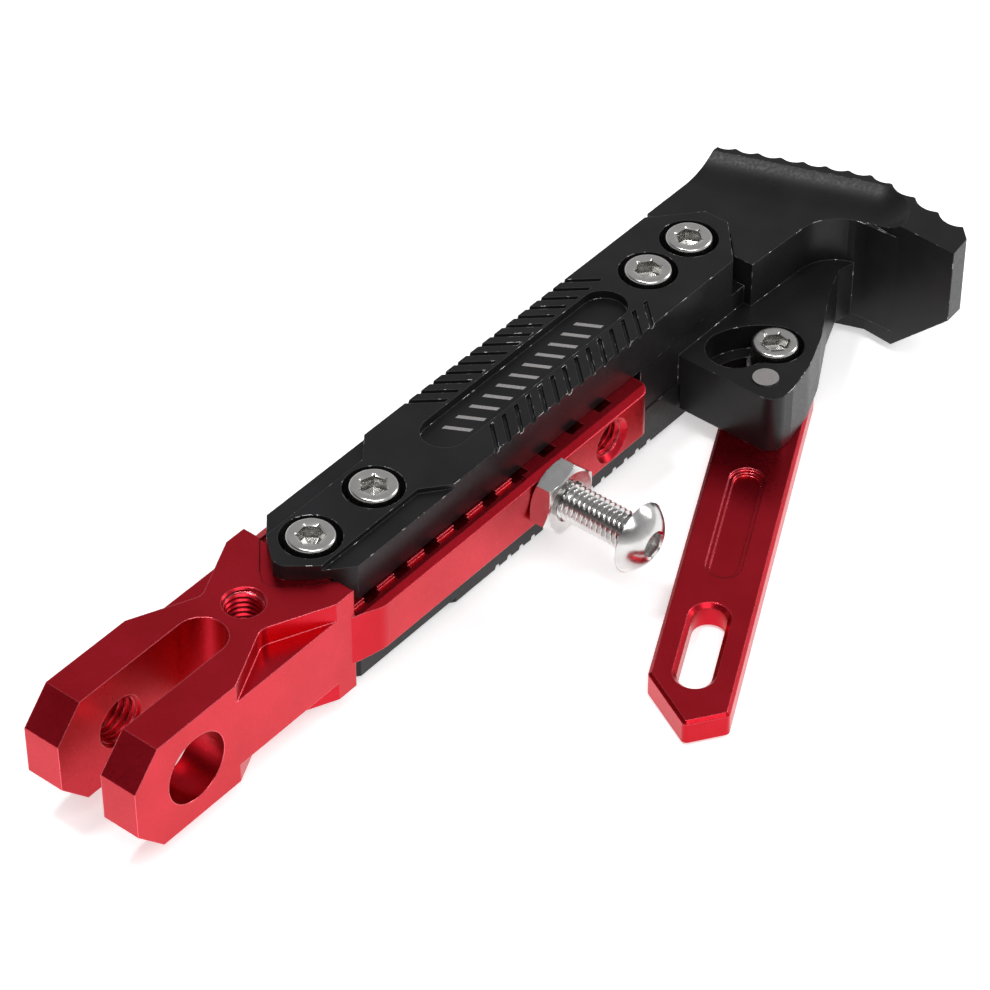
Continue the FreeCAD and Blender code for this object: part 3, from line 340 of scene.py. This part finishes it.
# ---- Socket screws -------------------------------------------------------------
# M6 stainless cap screws, cold headed with a hexagon socket and rolled thread. The
# four through the covers and the arm's lock screw are alike but for their length.
M6_PITCH, M6_SOCKET, M6_SOCKET_DEPTH, M6_HEAD_HEIGHT = 1.0 * MM, 5.0 * MM, 3.2 * MM, 6.0 * MM
M6_CREST = 2.98 * MM


def stainless(name, tint=(0.60, 0.59, 0.57), rough=0.2):
    """Bare steel, faintly smeared and drawn, so its gloss changes over the surface."""
    finish, tree, shader = start_finish(name)
    place = object_place(tree)
    smear = rescale(tree, grain(tree, place, 350.0, 4.0), 0.3, 0.7)
    tree.links.new(mix_colour(tree, smear, tint, tuple(0.88 * part for part in tint)),
                   shader.inputs["Base Color"])
    tree.links.new(rescale(tree, grain(tree, place, 900.0), 0.3, 0.7, rough, rough + 0.08),
                   shader.inputs["Roughness"])
    bump = tree.nodes.new("ShaderNodeBump")
    bump.inputs["Strength"].default_value = 0.08
    bump.inputs["Distance"].default_value = 0.01 * MM
    tree.links.new(grain(tree, place, 1600.0, 2.0), bump.inputs["Height"])
    tree.links.new(bump.outputs["Normal"], shader.inputs["Normal"])
    shader.inputs["Metallic"].default_value = 1.0
    return finish


STEEL = stainless("stainless_steel")


def six_sided(angle, flats, twist):
    """Distance from the axis to a hexagon's side: half its size across flats over
    the cosine of the angle measured from the middle of that side."""
    sixth = math.pi / 3.0
    return 0.5 * flats / np.cos(((angle - twist) % sixth) - 0.5 * sixth)


def turned_screw(length, head, flats, pitch, radius, twist, dome=None):
    """Rings of a screw about +Z, head underside at zero. The profile runs from the
    socket's floor up its six-sided wall, over the head and down the shank, whose
    radius follows the thread form along a right-hand helix."""
    thread_depth, run_in, point_slope, corner_ease = 0.61 * pitch, 1.2 * pitch, 0.7, 0.15 * MM
    angle = np.linspace(0.0, 2.0 * math.pi, 96, endpoint=False) + twist
    head_radius, head_height, depth = head
    hexagon = six_sided(angle, flats, twist)
    corner = 0.5 * flats / math.cos(math.pi / 6.0)
    rim, drill_point = corner + 0.3 * MM, 0.9 * MM
    floor = head_height - depth
    rows = [(0.02 * MM + 0.0 * angle, floor - drill_point), (0.93 * hexagon, floor - 0.05 * MM),
            (hexagon, floor)]
    top = head_height
    if dome:
        top = math.sqrt(dome ** 2 - rim ** 2) - dome + head_height
    rows += [(hexagon, top - 0.35 * MM), (hexagon + 0.02 * MM, top - 0.3 * MM),
             (rim + 0.0 * angle, top)]
    if dome:
        for reach in np.linspace(corner + 0.35 * MM, head_radius, 24):
            rows.append((reach + 0.0 * angle,
                         math.sqrt(dome ** 2 - reach ** 2) - dome + head_height))
    else:
        bevel = 0.75 * MM
        rows.append((head_radius - bevel + 0.0 * angle, top))
        for turn in np.linspace(0.0, 0.5 * math.pi, 7)[1:]:
            rows.append((head_radius - bevel * (1.0 - math.sin(turn)) + 0.0 * angle,
                         top - bevel * (1.0 - math.cos(turn))))
    rows += [(head_radius + 0.0 * angle, corner_ease),
             (head_radius - corner_ease + 0.0 * angle, 0.0), (radius + 0.0 * angle, 0.0)]
    for along in np.arange(0.3 * MM, length - 0.02 * MM, pitch / 10.0):
        ends = min(1.0, along / run_in, (length - along) / run_in + 0.15)
        form = triangle_thread(-along / pitch - angle / (2.0 * math.pi))
        point = max(0.0, along - (length - pitch)) * point_slope
        rows.append((radius - thread_depth * form * ends - point, -along))
    rows.append((0.6 * radius + 0.0 * angle, -length))
    reach = np.stack([row[0] for row in rows])
    height = np.array([row[1] for row in rows])[:, None] + 0.0 * angle[None, :]
    return np.stack([reach * np.cos(angle), reach * np.sin(angle), height], -1)


def cap_screw(node, body, twist):
    """Stands a socket screw where its node lies, with the node's own length."""
    low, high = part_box(node)
    head = (0.5 * (high.x - low.x), M6_HEAD_HEIGHT, M6_SOCKET_DEPTH)
    rings = turned_screw(high.z - low.z - M6_HEAD_HEIGHT, head, M6_SOCKET, M6_PITCH,
                         M6_CREST, math.radians(twist))
    centre = (0.5 * (low.x + high.x), 0.5 * (low.y + high.y), high.z - M6_HEAD_HEIGHT)
    piece = lay_rings(node + "_detail", stand_on(rings, centre, "z"), body,
                      STEEL)
    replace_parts(piece, node)


cover_twists, lock_twist = (8.0, 41.0, 22.0, 52.0), 17.0
for number, twist in enumerate(cover_twists, 1):
    cap_screw("cover_screw_%d" % number, "leg", twist)
cap_screw("arm_lock_screw", "arm", lock_twist)


# ---- Washers and nuts ----------------------------------------------------------
# Stamped stainless washers under the heads, and chamfered hexagon nuts sunk in the
# lower cover.
WASHER_HOLE, M6_NUT_FLATS, M6_NUT_BORE = 3.2 * MM, 10.0 * MM, 3.0 * MM


def washer_ring(node, body):
    """A flat ring whose section is a rectangle with its four corners eased."""
    low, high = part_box(node)
    outer, inner = 0.5 * (high.x - low.x), WASHER_HOLE
    ease = 0.15 * MM
    section = [(inner + ease, 0.0), (outer - ease, 0.0), (outer, ease),
               (outer, high.z - low.z - ease), (outer - ease, high.z - low.z),
               (inner + ease, high.z - low.z), (inner, high.z - low.z - ease), (inner, ease)]
    angle = np.linspace(0.0, 2.0 * math.pi, 72, endpoint=False)
    reach, height = np.array(section).T
    rings = np.stack([reach[:, None] * np.cos(angle), reach[:, None] * np.sin(angle),
                      height[:, None] + 0.0 * angle], -1)
    centre = (0.5 * (low.x + high.x), 0.5 * (low.y + high.y), low.z)
    piece = lay_rings(node + "_detail", stand_on(rings, centre, "z"), body,
                      STEEL, close=True)
    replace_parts(piece, node)


def nut_rings(flats, height, bore, twist):
    """A nut about +Z: six flat sides cut at both ends by a 30-degree cone, so each
    radius is the smaller of the hexagon's and the cone's, and a chamfered bore."""
    face_radius, cone_reach, ease = 0.475 * flats, 0.9 * MM, 0.45 * MM
    angle = np.linspace(0.0, 2.0 * math.pi, 144, endpoint=False) + twist
    side = six_sided(angle, flats, twist)
    slope = math.tan(math.radians(60.0))
    level = np.concatenate([np.linspace(0.0, cone_reach, 14),
                            np.linspace(height - cone_reach, height, 14)])
    cone = face_radius + slope * np.minimum(level, height - level)
    wall = np.minimum(side[None, :], cone[:, None])
    inner = np.array([bore + ease, bore, bore, bore + ease])[:, None] + 0.0 * angle[None, :]
    reach = np.vstack([wall, inner[::-1]])
    height = np.concatenate([level, [height, height - ease, ease, 0.0]])[:, None]
    return np.stack([reach * np.cos(angle), reach * np.sin(angle),
                     height + 0.0 * angle[None, :]], -1)


for number in range(1, 5):
    washer_ring("cover_washer_%d" % number, "leg")
    nut = "cover_nut_%d" % number
    low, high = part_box(nut)
    rings = nut_rings(M6_NUT_FLATS, high.z - low.z, M6_NUT_BORE, 0.0)
    centre = (0.5 * (low.x + high.x), 0.0, low.z)
    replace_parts(lay_rings(nut + "_detail", stand_on(rings, centre, "z"), "leg",
                          STEEL, close=True, sharp=20.0), nut)
washer_ring("arm_lock_washer", "arm")


# ---- Kick arm ------------------------------------------------------------------
# A flat bar of aluminium, slotted, grooved and bevelled, and dyed red like the rack
# bar. It turns on a steel pin whose end shows in the lobe.
PIN_TINT, PIN_ROUGHNESS = (0.62, 0.58, 0.57), 0.22
dress("kick_arm", RED)
dress("arm_pivot_pin", stainless("pin_steel", PIN_TINT, PIN_ROUGHNESS))


# ---- Stop screw ----------------------------------------------------------------
# A steel button-head screw with a rolled M8 thread, polished, standing out of the
# bar's side. A hexagon lock nut, turned and chamfered, holds it there.
BRIGHT_TINT, BRIGHT_ROUGHNESS = (0.62, 0.61, 0.60), 0.16
BRIGHT = stainless("polished_steel", BRIGHT_TINT, BRIGHT_ROUGHNESS)
stop_head_radius, stop_head, stop_dome, stop_length = 7.6 * MM, 4.6 * MM, 8.6 * MM, 30.0 * MM
stop_socket, stop_socket_depth, stop_crest = 5.0 * MM, 2.6 * MM, 3.98 * MM
nut_flats, nut_bore, stop_twist, nut_twist = 14.0 * MM, 4.02 * MM, 14.0, 15.0
low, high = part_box("stop_screw")
stop_x = 0.5 * (low.x + high.x)
rings = turned_screw(stop_length, (stop_head_radius, stop_head, stop_socket_depth),
                     stop_socket, M8_PITCH, stop_crest, math.radians(stop_twist),
                     dome=stop_dome)
under_head = (stop_x, high.y - stop_length, 0.0)
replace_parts(lay_rings("stop_screw_detail", stand_on(rings, under_head, "-y"), "stop",
                      BRIGHT), "stop_screw")
low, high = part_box("stop_lock_nut")
rings = nut_rings(nut_flats, high.y - low.y, nut_bore, math.radians(nut_twist))
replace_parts(lay_rings("stop_lock_nut_detail", stand_on(rings, (stop_x, high.y, 0.0), "-y"),
                      "lock_nut", BRIGHT, close=True, sharp=20.0),
            "stop_lock_nut")


# ---- Floor, light and camera ---------------------------------------------------
# A plain pale sheet under the stand, with soft boxes on the near side and a dimmer
# ceiling, darkest beyond the fork.
low, high = cad_box
middle = 0.5 * (Vector(low) + Vector(high))
floor_mesh = bpy.data.meshes.new("floor")
floor_reach = 3.0
floor_corners = [(middle.x + across * floor_reach, middle.y + along * floor_reach, low[2])
                 for across, along in ((-1, -1), (1, -1), (1, 1), (-1, 1))]
floor_mesh.from_pydata(floor_corners, [], [(0, 1, 2, 3)])
floor = bpy.data.objects.new("floor", floor_mesh)
bpy.context.scene.collection.objects.link(floor)
paper, tree, shader = start_finish("pale_paper")
tone = rescale(tree, grain(tree, object_place(tree), 12.0), 0.3, 0.7)
tree.links.new(mix_colour(tree, tone, (0.90, 0.90, 0.90), (0.93, 0.93, 0.93)),
               shader.inputs["Base Color"])
shader.inputs["Roughness"].default_value = 0.9
shader.inputs["Emission Color"].default_value = (1.0, 1.0, 1.0, 1.0)
shader.inputs["Emission Strength"].default_value = 0.5
floor_mesh.materials.append(paper)


def soft_box(name, place, size, power):
    """A rectangular lamp turned to the middle of the stand, in metres and watts."""
    lamp = bpy.data.lights.new(name, "AREA")
    lamp.shape = "RECTANGLE"
    lamp.size, lamp.size_y = size
    lamp.energy = power
    box = bpy.data.objects.new(name, lamp)
    box.location = Vector(place)
    box.rotation_euler = (Vector(place) - middle).to_track_quat("Z", "Y").to_euler()
    bpy.context.scene.collection.objects.link(box)


soft_box("key_box", (-0.35, -0.8, 1.3), (1.0, 0.8), 11.0)
soft_box("side_box", (1.3, -0.7, 0.8), (0.5, 0.7), 7.0)
soft_box("top_box", (-0.24, 0.15, 1.15), (0.16, 0.16), 4.5)

world = bpy.data.worlds.new("studio")
bpy.context.scene.world = world
world.use_nodes = True
tree = world.node_tree
backdrop = tree.nodes["Background"]
split = tree.nodes.new("ShaderNodeSeparateXYZ")
tree.links.new(tree.nodes.new("ShaderNodeTexCoord").outputs["Generated"], split.inputs[0])
upper = mix_colour(tree, rescale(tree, split.outputs[0], -0.5, 0.2),
                   (0.08, 0.08, 0.083), (0.60, 0.60, 0.61))
tree.links.new(mix_colour(tree, rescale(tree, split.outputs[2], 0.05, 0.5),
                          (1.0, 1.0, 1.0), upper), backdrop.inputs["Color"])
backdrop.inputs["Strength"].default_value = 0.75
bpy.context.scene.view_settings.view_transform = "Standard"

camera = bpy.data.objects.new("camera", bpy.data.cameras.new("camera"))
film_width, focal_length, eye = 36.0, 146.05, (-0.37248, -0.38846, 0.53027)
backwards = Vector((-0.5819, -0.4737, 0.6611))
camera.data.sensor_width = film_width
camera.data.lens = focal_length
camera.data.clip_start = 0.01
camera.location = eye
camera.rotation_euler = backwards.to_track_quat("Z", "Y").to_euler()
bpy.context.scene.collection.objects.link(camera)
bpy.context.scene.camera = camera
